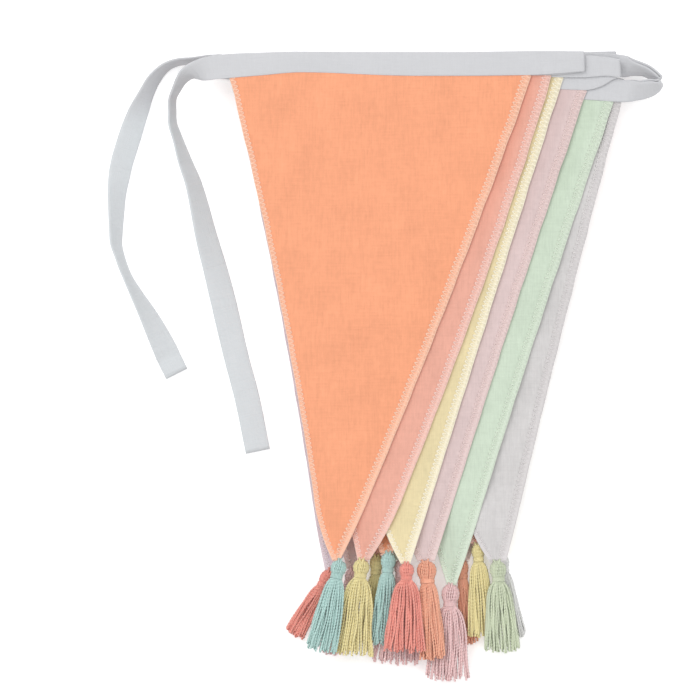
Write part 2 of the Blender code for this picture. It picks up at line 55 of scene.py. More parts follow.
# The tape, a binding folded double
TAPE_WIDTH = 15.0
TAPE_THICK = 1.6
RUN_PITCH = 1.95
BARE_TAPE = 56.0
SECTION_STEP = 3.0
TWIST_STEP = 5.0
STRAIGHT_SPAN = 100.0
FOLD_STEPS = 12
TAPE_WAVER = 0.12

# The pennants
CLOTH_THICK = 0.6
CLOTH_RISE = 0.35
ROWS_DOWN = 13
ROW_CROWDING = 1.25
TIP_START = 0.93
CELLS_ACROSS = 5
FINE_DOWN = 6
FINE_ACROSS = 8
EDGE_RIPPLE = 0.22
CLOTH_SWELL = 0.12
TUCK = 1.4

# The overlock along the two long sides
STITCH_PITCH = 2.8
LEFT_STITCH = 3.0
RIGHT_STITCH = 5.0
THREAD = 0.40

# The tassels
NECK_SHARE = 0.62
NECK_HEIGHT = 3.3
NECK_LENGTH = 2.2
NECK_RAISE = 1.5
HEAD_HEIGHT = 6.4
HEAD_OVERLAP = 0.3
HEAD_STRANDS = 24
HEAD_STRAND_SIZE = 0.86
HEAD_TWIST = 0.25
SKIRT_LAYERS = 4
STRANDS_ACROSS = 12
STRAND_SHIFT = 0.42
STRAND_ENDS = (-3.6, 0.9)
STRAND_SIZES = (0.86, 1.08)
END_CURVE = 5.0
NECK_TURNS = 3
BINDING_SIZE = 0.75
BINDING_STEP = 0.35
BINDING_OUT = 0.35
TIP_THREAD_SIZE = 0.22
TIP_THREAD_SIDES = (-0.25, 0.15)
YARN = 0.82
PLY_GROOVE = 0.62
YARN_STEP = 0.85
YARN_TURNS_PER_METRE = 165.0
SKIRT_DEPTH = 3.0
SHOULDER_SHARE = 0.5
SHOULDER_REACH = 0.08
SETTLE_SHARE = 0.32
CORE_SIDES = 14
CORE_SHRINK = 0.96

# Tip_width is the width of the cut tip. The two sides would reach the tip's height at the shoulders,
# and turn in to the tip over its last part. Left_y and right_y place the middle of the tape's run
# above the two top corners.
Cloth = namedtuple(
    "Cloth",
    "left_x right_x left_y right_y tip_x tip_y tip_width"
    " left_shoulder right_shoulder bow_left bow_right colour",
)
PENNANTS = (
    Cloth(-96.7, 91.2, 188.4, 190.1, -30.6, -120.6, 4.0, 7.8, 3.4, 4.5, 3.0, "orange"),
    Cloth(-82.5, 103.8, 187.8, 190.0, -13.4, -120.3, 6.9, 4.0, 7.8, 3.0, 4.5, "salmon"),
    Cloth(-75.2, 111.0, 187.8, 188.8, 12.8, -122.6, 5.2, 8.6, 2.8, 2.0, 0.0, "cream"),
    Cloth(-60.6, 125.6, 187.8, 180.6, 25.6, -121.2, 10.0, 9.0, 5.2, 2.0, -1.0, "rose"),
    Cloth(-43.8, 142.5, 187.2, 173.6, 41.6, -135.9, 5.0, 3.6, 3.4, 0.0, -1.5, "mint"),
    Cloth(-38.8, 147.5, 187.2, 173.2, 70.3, -121.2, 10.0, 10.6, 5.8, 0.0, -1.5, "pearl"),
    Cloth(-50.0, 136.2, 187.6, 188.9, 0.6, -115.9, 7.0, 6.0, 6.0, 0.0, 0.0, "orange"),
    Cloth(-46.2, 140.0, 187.6, 188.7, 57.5, -110.3, 7.0, 6.0, 6.0, 0.0, 0.0, "salmon"),
    Cloth(-68.8, 117.5, 187.6, 189.4, 72.5, -117.2, 7.0, 6.0, 6.0, 0.0, 0.0, "cream"),
    Cloth(-64.0, 122.3, 187.6, 189.4, 48.8, -120.3, 7.0, 6.0, 6.0, 0.0, 0.0, "rose"),
    Cloth(-68.8, 117.5, 187.6, 189.2, 10.6, -120.3, 7.0, 6.0, 6.0, 0.0, 0.0, "mint"),
    Cloth(-68.0, 118.2, 187.6, 189.2, -5.0, -117.5, 7.0, 6.0, 6.0, 0.0, 0.0, "salmon"),
    Cloth(-66.0, 120.2, 187.6, 189.2, -20.0, -126.0, 7.0, 6.0, 6.0, 0.0, 0.0, "rose"),
    Cloth(-95.5, 90.8, 187.4, 188.9, -34.0, -127.0, 6.0, 4.6, 5.6, 3.6, 0.0, "lilac"),
)

# Hang is how far to the right of the middle of its tip a tassel hangs
Yarn = namedtuple("Yarn", "head_width head_length hang end_x end_y spread colour")
TASSELS = (
    Yarn(9.5, 10.0, 2.6, -40.8, -177.8, 20.0, "yarn_aqua"),
    Yarn(10.0, 10.0, -1.0, -20.8, -180.3, 26.0, "yarn_straw"),
    Yarn(9.0, 9.0, 0.8, 12.0, -178.4, 26.0, "yarn_coral"),
    Yarn(12.0, 12.5, 0.0, 30.0, -182.8, 17.0, "yarn_apricot"),
    Yarn(11.0, 12.5, -0.5, 39.1, -195.9, 28.0, "yarn_mauve"),
    Yarn(10.0, 11.5, 0.0, 73.3, -178.4, 23.0, "yarn_sage"),
    Yarn(9.0, 11.0, 1.8, -1.5, -174.1, 15.5, "yarn_aqua"),
    Yarn(8.0, 10.0, 0.3, 61.5, -169.1, 18.0, "yarn_straw"),
    Yarn(8.0, 10.0, 0.0, 82.0, -169.5, 12.0, "yarn_stone"),
    Yarn(8.0, 10.5, -1.2, 52.2, -173.4, 9.0, "yarn_apricot"),
    Yarn(9.0, 10.0, 0.0, 6.9, -186.0, 30.0, "yarn_mauve"),
    Yarn(8.0, 11.0, 0.0, -9.0, -172.0, 14.0, "yarn_straw"),
    Yarn(7.5, 9.0, 0.0, -34.4, -179.7, 14.0, "yarn_mauve"),
    Yarn(8.0, 10.0, 0.0, -57.2, -167.8, 14.0, "yarn_coral"),
)

# The head's shape: shares of its length from the crown to below the neck, and of its width there
Swell = namedtuple("Swell", "down wide")
BULB = (
    Swell(-0.02, 0.20),
    Swell(0.05, 0.58),
    Swell(0.16, 0.86),
    Swell(0.38, 1.02),
    Swell(0.60, 0.97),
    Swell(0.78, 0.78),
    Swell(0.90, NECK_SHARE),
    Swell(1.25, NECK_SHARE * 0.9),
)

# One row for each place along the tape. Roll 0 lies flat and 90 stands on edge, and clear is the
# height of the tape's lowest edge above the surface.
Place = namedtuple("Place", "x y width roll clear")
Reach = namedtuple("Reach", "x y width roll")
TOP_TIE = (
    Place(-79.5, -52.5, 15.4, 0.0, 0.0),
    Place(-86.2, -19.7, 15.6, 0.0, 0.0),
    Place(-93.0, 5.9, 15.4, 0.0, 0.0),
    Place(-101.3, 42.2, 15.8, 8.0, 0.0),
    Place(-106.1, 60.9, 15.6, 18.0, 0.0),
    Place(-111.3, 79.7, 15.6, 31.0, 0.0),
    Place(-119.6, 114.1, 15.2, 50.0, 0.0),
    Place(-125.5, 129.7, 15.0, 58.0, 0.0),
    Place(-129.5, 142.2, 15.0, 68.0, 0.5),
    Place(-133.1, 154.7, 15.0, 73.0, 2.2),
    Place(-133.1, 165.3, 15.0, 75.0, 5.3),
    Place(-129.4, 175.3, 15.0, 72.0, 9.6),
    Place(-124.4, 181.9, 15.0, 62.0, 14.4),
    Place(-116.9, 185.4, 15.0, 32.0, 21.4),
    Place(-108.1, 187.2, 15.0, 5.0, 25.2),
)
LOW_TIE = (
    Place(-103.8, 188.6, 15.0, 8.0, 0.0),
    Place(-112.5, 190.9, 15.0, 55.0, 0.0),
    Place(-125.6, 191.4, 15.0, 76.0, 0.0),
    Place(-134.8, 189.1, 15.0, 72.0, 0.0),
    Place(-144.0, 180.9, 15.0, 60.0, 0.0),
    Place(-149.7, 170.6, 15.0, 52.0, 0.0),
    Place(-154.7, 159.1, 15.2, 35.0, 0.0),
    Place(-160.4, 142.2, 15.4, 25.0, 0.0),
    Place(-165.6, 123.4, 15.2, 28.0, 0.0),
    Place(-167.9, 105.9, 15.0, 45.0, 0.0),
    Place(-168.4, 79.7, 15.0, 62.0, 0.0),
    Place(-165.6, 68.4, 15.0, 70.0, 0.0),
    Place(-161.9, 58.4, 15.0, 71.0, 0.0),
    Place(-155.2, 45.3, 15.0, 61.0, 0.0),
    Place(-147.3, 30.9, 15.0, 42.0, 0.0),
    Place(-138.4, 12.8, 15.2, 16.0, 0.0),
    Place(-134.6, 4.7, 15.0, 0.0, 0.0),
    Place(-130.2, -4.1, 14.8, 0.0, 0.0),
)

# Where a run bends between the two corners of its pennant, by the run's number
BENDS = {
    1: (
        Reach(-78.0, 189.5, 14.2, 0.0),
        Reach(-53.0, 190.7, 13.0, 0.0),
        Reach(21.9, 189.6, 15.0, 0.0),
    ),
}

# Where each pair of runs goes between its pennants and the fold at the right. Where a pair has no
# return rows, the lower run follows close under the upper one.
RIGHT_ENDS = (
    ((Reach(123.0, 191.1, 12.8, 0.0),), ()),
    (
        (Reach(125.0, 188.3, 14.0, 0.0), Reach(137.0, 188.2, 12.0, 0.0), Reach(145.5, 187.0, 11.0, 0.0)),
        (Reach(145.5, 187.0, 11.0, 0.0), Reach(139.5, 185.0, 12.0, 0.0), Reach(132.5, 182.0, 14.0, 0.0)),
    ),
    (
        (
            Reach(150.0, 172.7, 13.8, 0.0),
            Reach(158.4, 172.7, 13.8, 36.0),
            Reach(165.9, 174.2, 13.8, 47.0),
            Reach(170.4, 175.7, 12.8, 63.0),
            Reach(171.9, 176.8, 12.0, 73.0),
        ),
        (),
    ),
    (
        (
            Reach(147.5, 188.3, 14.0, 0.0),
            Reach(151.5, 187.3, 13.2, 28.0),
            Reach(155.6, 186.6, 12.3, 48.0),
            Reach(162.5, 184.9, 11.5, 60.0),
            Reach(167.6, 181.6, 11.0, 64.0),
            Reach(169.8, 179.6, 11.0, 66.0),
        ),
        (),
    ),
    ((Reach(143.0, 190.2, 15.0, 0.0),), ()),
    ((Reach(126.0, 189.4, 15.0, 0.0),), ()),
    ((Reach(128.0, 189.4, 15.0, 0.0),), ()),
)

Section = namedtuple("Section", "centre run across width")

# The tape's cross-section, once round. Inset is how far in from an edge, and the open edge, at the
# bottom of the page, has the slit that holds the pennants.
Corner = namedtuple("Corner", "edge inset height")
TAPE_PROFILE = (
    Corner(-1, 0.50, -0.92),
    Corner(-1, 0.05, -0.70),
    Corner(-1, 0.00, -0.16),
    Corner(-1, 1.30, -0.06),
    Corner(-1, 1.30, 0.06),
    Corner(-1, 0.00, 0.16),
    Corner(-1, 0.05, 0.70),
    Corner(-1, 0.50, 0.92),
    Corner(-1, 2.40, 0.98),
    Corner(1, 2.40, 0.98),
    Corner(1, 0.60, 0.86),
    Corner(1, 0.10, 0.45),
    Corner(1, 0.00, 0.00),
    Corner(1, 0.10, -0.45),
    Corner(1, 0.60, -0.86),
    Corner(1, 2.40, -0.98),
    Corner(-1, 2.40, -0.98),
)

# Base colours of the cloths and of the paler thread along their edges. Covered is how much painted shade
# darkens the upper part of a cloth under the pennant above it, standing for that pennant's shadow.
Dye = namedtuple("Dye", "cloth thread covered")
DYES = {
    "orange": Dye((0.893, 0.379, 0.215), (0.950, 0.610, 0.460), 0.0),
    "salmon": Dye((0.800, 0.408, 0.317), (0.900, 0.620, 0.550), 0.9),
    "cream": Dye((0.765, 0.655, 0.395), (0.930, 0.870, 0.700), 0.0),
    "rose": Dye((0.690, 0.546, 0.536), (0.800, 0.640, 0.620), 0.8),
    "mint": Dye((0.600, 0.698, 0.570), (0.700, 0.780, 0.660), 0.5),
    "pearl": Dye((0.645, 0.625, 0.622), (0.720, 0.690, 0.690), 0.0),
    "lilac": Dye((0.720, 0.620, 0.700), (0.790, 0.700, 0.740), 0.0),
}
# Painted shade under the pennant above: from this far in from a cloth's right side, and above this height
PAINTED_SHADE_FROM_EDGE = 6.5
PAINTED_SHADE_ABOVE = 50.0
TAPE_DYE = (0.598, 0.602, 0.622)

# Painted light: the ties take a paler, cooler colour that stands for the brighter light on them. All the tape
# below y = TIES_BELOW is theirs.
TIE_PAINTED_LIGHT = (0.645, 0.670, 0.690)
TIES_BELOW = 168.0

YARN_DYES = {
    "yarn_aqua": (0.510, 0.720, 0.680),
    "yarn_straw": (0.860, 0.755, 0.395),
    "yarn_coral": (1.000, 0.380, 0.315),
    "yarn_apricot": (1.000, 0.475, 0.330),
    "yarn_mauve": (0.890, 0.620, 0.615),
    "yarn_sage": (0.695, 0.760, 0.570),
    "yarn_stone": (0.900, 0.895, 0.880),
}

# The camera looks straight down on the middle of the photograph's frame
FRAME_MIDDLE = (-21.9, 10.9)
FRAME_WIDTH = 437.5
CAMERA_HEIGHT = 20.0
SENSOR = 36.0
MIDDLE_HEIGHT = 0.014

# The studio. The two lamps shine on the origin, and the soft box shines straight down.
FLOOR_REACH = 3000.0
FLOOR_DROP = 0.1
FLOOR_GLOW = 0.30
WHITE = (1.0, 1.0, 1.0, 1.0)
PAPER_WHITE = (0.95, 0.95, 0.95, 1.0)
SKY_STRENGTH = 0.62
Lamp = namedtuple("Lamp", "name place power size")
LAMPS = (
    Lamp("key", (-0.8, 0.9, 1.7), 12.0, 1.2),
    Lamp("fill", (1.1, -0.3, 1.8), 3.0, 1.4),
)
SOFT_BOX_STRENGTH = 0.80
SOFT_BOX_ANGLE = 1.4


def smooth_rows(rows):
    """Points on a smooth curve through the rows. No column overshoots between two rows."""
    table = np.array(rows, dtype=float)
    chord = np.linalg.norm(np.diff(table[:, :2], axis=0), axis=1)
    slope = np.diff(table, axis=0) / chord[:, None]
    before, after = slope[:-1], slope[1:]
    steady = before * after > 0.0
    inner = np.where(steady, 2 * before * after / np.where(steady, before + after, 1.0), 0.0)
    tangent = np.vstack([slope[:1], inner, slope[-1:]])
    points = [table[0]]
    for i, length in enumerate(chord):
        twist = abs(table[i + 1, 3] - table[i, 3])
        count = max(1, round(length / SECTION_STEP), math.ceil(twist / TWIST_STEP))
        for t in np.arange(1, count + 1) / count:
            if length > STRAIGHT_SPAN:
                points.append(table[i] + (table[i + 1] - table[i]) * t)
                continue
            points.append(
                (2 * t**3 - 3 * t**2 + 1) * table[i]
                + (t**3 - 2 * t**2 + t) * length * tangent[i]
                + (3 * t**2 - 2 * t**3) * table[i + 1]
                + (t**3 - t**2) * length * tangent[i + 1]
            )
    return points


def half_height(width, roll):
    """Half the height of the tape's cross-section when it is rolled by some degrees."""
    tilt = math.radians(roll)
    return 0.5 * (width * math.sin(tilt) + TAPE_THICK * math.cos(tilt))


def lay_tape(rows, turn):
    """Sections of the tape along rows of places. Turn is 1 where the runs go right, -1 to the left."""
    points = smooth_rows(rows)
    centres = []
    for x, y, width, roll, clear in points:
        centres.append(Vector((x, y, clear + half_height(width, roll))))
    sections = []
    for i, (x, y, width, roll, clear) in enumerate(points):
        run = (centres[min(i + 1, len(centres) - 1)] - centres[max(i - 1, 0)]).normalized()
        sideways = Vector((-run.y, run.x, 0.0)).normalized() * turn
        tilt = math.radians(roll)
        across = sideways * math.cos(tilt) + UP * math.sin(tilt)
        across = (across - run * across.dot(run)).normalized()
        sections.append(Section(centres[i], run, across, width))
    return sections


def fold_tape(last, following):
    """Sections round a fold, from the last section of a run to the first of the run under it."""
    half_drop = (last.centre - following.centre) / 2
    hub = (last.centre + following.centre) / 2
    down = half_drop.normalized()
    reach = last.run - following.run
    reach = (reach - down * reach.dot(down)).normalized() * half_drop.length
    line = down.cross(reach).normalized()
    if line.dot(last.across) < 0.0:
        line = -line
    first_width = last.width / line.dot(last.across)
    last_width = following.width / line.dot(following.across)
    sections = []
    for step in range(FOLD_STEPS + 1):
        share = step / FOLD_STEPS
        over, out = math.cos(math.pi * share), math.sin(math.pi * share)
        run = (over * reach - out * half_drop).normalized()
        width = first_width + (last_width - first_width) * share
        sections.append(Section(hub + over * half_drop + out * reach, run, line, width))
    return sections


def run_clear(number):
    """The height of the underside of a run of the tape."""
    return RUN_PITCH * (len(PENNANTS) - number)


def reach_place(reach, number):
    """A place past the pennants on a run, where the tape rolls about its own middle."""
    middle = run_clear(number) + TAPE_THICK / 2
    return Place(*reach, middle - half_height(reach.width, reach.roll))


def follow_under(sections):
    """The sections of a run that goes back close under the sections of another."""
    return [
        Section(s.centre - s.run.cross(s.across) * RUN_PITCH, -s.run, s.across, s.width)
        for s in reversed(sections)
    ]


def left_fold(number):
    """Where the tape folds at the left, under run number and over the next one."""
    upper, lower = PENNANTS[number - 1], PENNANTS[number]
    return (upper.left_x + lower.left_x - BARE_TAPE) / 2, (upper.left_y + lower.left_y) / 2


def corner_places(number):
    """The places of the tape over the left and right corners of a pennant."""
    cloth = PENNANTS[number - 1]
    clear = run_clear(number)
    return [
        Place(cloth.left_x, cloth.left_y, TAPE_WIDTH, 0.0, clear),
        Place(cloth.right_x, cloth.right_y, TAPE_WIDTH, 0.0, clear),
    ]


def tape_runs():
    """The sections of each run of the tape, the ties with the first and last run."""
    runs = []
    for pair, (going, coming) in enumerate(RIGHT_ENDS):
        upper = 2 * pair + 1
        lower = upper + 1
        clear = run_clear(upper)
        start = list(TOP_TIE) if upper == 1 else [Place(*left_fold(upper - 1), TAPE_WIDTH, 0.0, clear)]
        left, right = corner_places(upper)
        bends = [reach_place(reach, upper) for reach in BENDS.get(upper, ())]
        ends = [reach_place(reach, upper) for reach in going]
        runs.append(lay_tape(start + [left] + bends + [right] + ends, 1))
        back = [reach_place(reach, lower) for reach in coming or going[:1]]
        left, right = corner_places(lower)
        last_places = LOW_TIE
        if lower < len(PENNANTS):
            last_places = (Place(*left_fold(lower), TAPE_WIDTH, 0.0, run_clear(lower)),)
        run = lay_tape(back + [right, left] + list(last_places), -1)
        if not coming:
            past = [s for s in runs[-1] if s.centre.x > going[0].x - CLEAR]
            run[:1] = follow_under(past)
        runs.append(run)
    return runs


def whole_tape(runs):
    """All sections of the tape from the end of one tie to the end of the other."""
    sections = runs[0][:-1]
    for upper, lower in zip(runs, runs[1:]):
        sections += fold_tape(upper[-1], lower[0]) + lower[1:-1]
    return sections + runs[-1][-1:]


def profile_points(section, along):
    """The tape's cross-section at a section, with a slightly wavering width."""
    normal = section.run.cross(section.across)
    if normal.dot(UP) < 0.0:
        normal = -normal
    points = []
    for corner in TAPE_PROFILE:
        waver = TAPE_WAVER * math.sin(along / 17.0 + 2.0 * corner.edge) * math.sin(along / 41.0)
        side = corner.edge * (section.width / 2 - corner.inset + waver)
        points.append(section.centre + section.across * side + normal * (corner.height * TAPE_THICK / 2))
    return points


def piece(name, points, faces, shift):
    """A mesh object of points in millimetres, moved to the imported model's place."""
    mesh = bpy.data.meshes.new(name)
    mesh.from_pydata([((p[0] + shift[0]) * MM, (p[1] + shift[1]) * MM, p[2] * MM) for p in points], [], faces)
    made = bpy.data.objects.new(name, mesh)
    bpy.context.scene.collection.objects.link(made)
    return made


def tube_faces(rings, sides):
    """The faces of a closed tube whose points lie in rings."""
    faces = []
    last = (rings - 1) * sides
    for start in range(0, last, sides):
        for j in range(sides):
            k = (j + 1) % sides
            faces.append((start + j, start + k, start + sides + k, start + sides + j))
    return [*faces, tuple(range(sides)), tuple(range(last + sides - 1, last - 1, -1))]


def turn_outwards(made):
    """Make all faces of a closed mesh point outwards, with smooth shading."""
    bpy.context.view_layer.objects.active = made
    made.select_set(True)
    bpy.ops.object.mode_set(mode="EDIT")
    bpy.ops.mesh.select_all(action="SELECT")
    bpy.ops.mesh.normals_make_consistent(inside=False)
    bpy.ops.object.mode_set(mode="OBJECT")
    made.select_set(False)
    for face in made.data.polygons:
        face.use_smooth = True


class Value:
    """A shader value that works in sums. Each sum adds its own Math node."""

    def __init__(self, finish, socket):
        self.finish = finish
        self.socket = socket

    def sum_with(self, operation, first, second):
        return self.finish.node("ShaderNodeMath", {"operation": operation}, {0: first, 1: second})

    def __add__(self, other):
        return self.sum_with("ADD", self, other)

    def __radd__(self, other):
        return self.sum_with("ADD", other, self)

    def __sub__(self, other):
        return self.sum_with("SUBTRACT", self, other)

    def __rsub__(self, other):
        return self.sum_with("SUBTRACT", other, self)

    def __mul__(self, other):
        return self.sum_with("MULTIPLY", self, other)

    def __rmul__(self, other):
        return self.sum_with("MULTIPLY", other, self)


class Finish:
    """One material. Its node method adds any node and gives back one of the node's outputs."""

    def __init__(self, name):
        self.material = bpy.data.materials.new(name)
        self.material.use_nodes = True
        self.nodes = self.material.node_tree.nodes
        self.shader = self.nodes["Principled BSDF"]

    def node(self, kind, settings, sockets, output=0):
        made = self.nodes.new(kind)
        for setting, value in settings.items():
            setattr(made, setting, value)
        self.fill(made, sockets)
        return Value(self, made.outputs[output])

    def fill(self, made, sockets):
        for name, value in sockets.items():
            if isinstance(value, Value):
                self.material.node_tree.links.new(value.socket, made.inputs[name])
            else:
                made.inputs[name].default_value = value

    def noise(self, place, scale, detail=2.0):
        """Soft noise about nought, with a scale for each direction in turns a metre."""
        spread = self.node("ShaderNodeMapping", {}, {"Vector": place, "Scale": scale})
        sockets = {"Vector": spread, "Scale": 1.0, "Detail": detail, "Roughness": 0.55}
        return self.node("ShaderNodeTexNoise", {}, sockets, "Fac") - 0.5

    def clamp(self, value):
        return self.node("ShaderNodeClamp", {}, {"Value": value})

    def mix(self, share, first, second):
        """A colour between two others."""
        settings = {"data_type": "RGBA"}
        return self.node("ShaderNodeMix", settings, {0: share, 6: first, 7: second}, 2)

    def shaded(self, colour, level, deep, bright):
        """A colour that goes from darker to lighter as the level goes from nought to one."""
        dark = (*(channel * deep for channel in colour), 1.0)
        light = (*(min(1.0, channel * bright) for channel in colour), 1.0)
        return self.mix(self.clamp(level), dark, light)

    def close(self, colour, height, depth, rough, sheen):
        """Give the shader its colour and its small relief."""
        bump = self.node("ShaderNodeBump", {}, {"Height": height, "Strength": 1.0, "Distance": depth})
        sockets = {
            "Base Color": colour,
            "Normal": bump,
            "Roughness": rough,
            "Specular IOR Level": 0.15,
            "Sheen Weight": sheen,
            "Sheen Roughness": 0.5,
        }
        self.fill(self.shader, sockets)
        return self.material


def cloth_finish(name, dye):
    """Thin plain-woven cotton, with the overlock's paler thread along both sides and painted shade under the
    pennant above.
    """
    finish = Finish(name)
    place = finish.node("ShaderNodeTexCoord", {}, {}, "Object")
    blotch = finish.noise(place, (46.0, 34.0, 46.0), 3.0)
    warp = finish.noise(place, (1150.0, 100.0, 62.0))
    weft = finish.noise(place, (70.0, 1050.0, 70.0))
    fleck = finish.noise(place, (420.0, 260.0, 420.0))
    level = 0.5 + blotch * 0.85 + warp * 0.75 + weft * 0.45 + fleck * 0.50
    woven = finish.shaded(dye.cloth, level, 0.84, 1.10)
    upward = finish.node("ShaderNodeSeparateXYZ", {}, {0: place}, "Y")
    sides = finish.node("ShaderNodeUVMap", {"uv_map": "Sides"}, {})
    sides = finish.node("ShaderNodeSeparateXYZ", {}, {0: sides})
    to_right = Value(finish, sides.socket.node.outputs["Y"])
    near_left = finish.clamp((LEFT_STITCH * MM - sides) * 1300.0)
    near_right = finish.clamp((RIGHT_STITCH * MM - to_right) * 2600.0)
    outer_right = finish.clamp((RIGHT_STITCH * MM * 0.55 - to_right) * 1300.0)
    band = near_left * 0.45 + near_right * 0.35 + outer_right * 0.35
    # Painted shade: the upper part of the cloth, away from its right side, turns to a darker colour where the
    # pennant above shades it
    painted_shade = finish.clamp((to_right - PAINTED_SHADE_FROM_EDGE * MM) * 200.0)
    painted_shade = painted_shade * finish.clamp((upward - PAINTED_SHADE_ABOVE * MM) * 14.0)
    deep = tuple(channel ** 1.5 for channel in dye.cloth)
    woven = finish.mix(painted_shade * (0.35 * dye.covered), woven, (*deep, 1.0))
    colour = finish.mix(band, woven, (*dye.thread, 1.0))
    return finish.close(colour, warp + weft + blotch * 0.6, 0.00030, 0.92, 0.12)


def thread_finish(name, colour):
    """The pale overlock thread."""
    finish = Finish(name)
    place = finish.node("ShaderNodeTexCoord", {}, {}, "Object")
    fleck = finish.noise(place, (900.0, 900.0, 900.0))
    return finish.close(finish.shaded(colour, 0.5 + fleck, 0.90, 1.06), fleck, 0.0001, 0.85, 0.1)


def tape_finish(name):
    """Cotton binding, with its threads along and across the tape, and painted light that makes the ties
    paler.
    """
    finish = Finish(name)
    place = finish.node("ShaderNodeUVMap", {"uv_map": "Length"}, {})
    blotch = finish.noise(place, (70.0, 26.0, 1.0), 3.0)
    along = finish.noise(place, (1300.0, 90.0, 1.0))
    over = finish.noise(place, (90.0, 1100.0, 1.0))
    crease = finish.noise(place, (22.0, 210.0, 1.0), 3.0)
    level = 0.5 + blotch * 0.40 + along * 0.35 + over * 0.35 + crease * 0.15
    upward = finish.node("ShaderNodeTexCoord", {}, {}, "Object")
    upward = finish.node("ShaderNodeSeparateXYZ", {}, {0: upward}, "Y")
    # Painted light: the ties, below TIES_BELOW, take the paler colour that stands for the brighter light on
    # them
    painted_tie_light = finish.clamp((TIES_BELOW * MM - upward) * 60.0)
    run = finish.shaded(TAPE_DYE, level, 0.90, 1.07)
    colour = finish.mix(painted_tie_light, run, finish.shaded(TIE_PAINTED_LIGHT, level, 0.90, 1.07))
    return finish.close(colour, along + over + crease * 1.6, 0.00025, 0.9, 0.1)


def yarn_finish(name, colour):
    """Twisted yarn, unevenly dyed, with fine fibres along it."""
    finish = Finish(name)
    place = finish.node("ShaderNodeTexCoord", {}, {}, "Object")
    dye = finish.noise(place, (150.0, 60.0, 150.0), 3.0)
    fibre = finish.noise(place, (2200.0, 900.0, 2200.0))
    phase = finish.node("ShaderNodeAttribute", {"attribute_name": "phase"}, {}, "Fac")
    strand = finish.node("ShaderNodeTexWhiteNoise", {"noise_dimensions": "1D"}, {"W": phase}) - 0.5
    level = 0.5 + dye * 0.60 + fibre * 0.35 + strand * 0.60
    return finish.close(finish.shaded(colour, level, 0.86, 1.12), fibre, 0.00012, 0.9, 0.3)


class Tree:
    """A Geometry Nodes tree with named sizes and a material, used once for each piece it makes."""

    def __init__(self, name, sizes):
        self.group = bpy.data.node_groups.new(name, "GeometryNodeTree")
        inputs = [("Geometry", "Geometry"), *((size, "Float") for size in sizes), ("Material", "Material")]
        for label, kind in inputs:
            self.group.interface.new_socket(label, in_out="INPUT", socket_type="NodeSocket" + kind)
        self.group.interface.new_socket("Geometry", in_out="OUTPUT", socket_type="NodeSocketGeometry")
        self.start = self.group.nodes.new("NodeGroupInput")
        self.finish = self.group.nodes.new("NodeGroupOutput")

    def given(self, label):
        return self.start.outputs[label]

    def node(self, kind, settings, sockets, output=0):
        made = self.group.nodes.new(kind)
        for setting, value in settings.items():
            setattr(made, setting, value)
        for name, value in sockets.items():
            for each in value if isinstance(value, list) else [value]:
                if isinstance(each, bpy.types.NodeSocket):
                    self.group.links.new(each, made.inputs[name])
                else:
                    made.inputs[name].default_value = each
        return made.outputs[output]

    def stored(self, name, kind="FLOAT"):
        """A value that the points of the lines hold."""
        return self.node("GeometryNodeInputNamedAttribute", {"data_type": kind}, {"Name": name})

    def sum(self, operation, *values):
        return self.node("ShaderNodeMath", {"operation": operation}, dict(enumerate(values)))

    def end(self, geometry):
        """Put the geometry out with its material."""
        sockets = {"Geometry": geometry, "Material": self.given("Material")}
        covered = self.node("GeometryNodeSetMaterial", {}, sockets)
        self.group.links.new(covered, self.finish.inputs[0])

    def make(self, lines, name, sizes):
        """Run the tree on a piece of lines, and give the result back as a plain mesh object."""
        modifier = lines.modifiers.new("made", "NODES")
        modifier.node_group = self.group
        given = [item for item in self.group.interface.items_tree if item.in_out == "INPUT"]
        sockets = {item.name: item.identifier for item in given}
        for label, value in sizes.items():
            modifier[sockets[label]] = value
        evaluated = lines.evaluated_get(bpy.context.evaluated_depsgraph_get())
        mesh = bpy.data.meshes.new_from_object(evaluated)
        made = bpy.data.objects.new(name, mesh)
        bpy.context.scene.collection.objects.link(made)
        bpy.data.objects.remove(lines)
        return made


def yarn_tree():
    """Twisted two-ply yarn along each line. Size is the yarn's thickness at a point of a line."""
    tree = Tree("twisted yarn", ("Thickness", "Turns"))
    curve = tree.node("GeometryNodeMeshToCurve", {}, {0: tree.given("Geometry")})
    curve = tree.node("GeometryNodeSetCurveRadius", {}, {"Curve": curve, "Radius": tree.stored("size")})
    length = tree.node("GeometryNodeSplineParameter", {}, {}, "Length")
    turns = tree.sum("MULTIPLY", length, tree.given("Turns"))
    angle = tree.sum("MULTIPLY_ADD", turns, 2 * math.pi, tree.stored("phase"))
    curve = tree.node("GeometryNodeSetCurveTilt", {}, {"Curve": curve, "Tilt": angle})
    inner = tree.sum("MULTIPLY", tree.given("Thickness"), PLY_GROOVE)
    sockets = {"Points": 3, "Inner Radius": inner, "Outer Radius": tree.given("Thickness")}
    profile = tree.node("GeometryNodeCurveStar", {}, sockets)
    sockets = {"Curve": curve, "Profile Curve": profile, "Fill Caps": True}
    swept = tree.node("GeometryNodeCurveToMesh", {}, sockets)
    swept = tree.node("GeometryNodeSetShadeSmooth", {}, {"Geometry": swept})
    tree.end(tree.node("GeometryNodeRealizeInstances", {}, {"Geometry": swept}))
    return tree


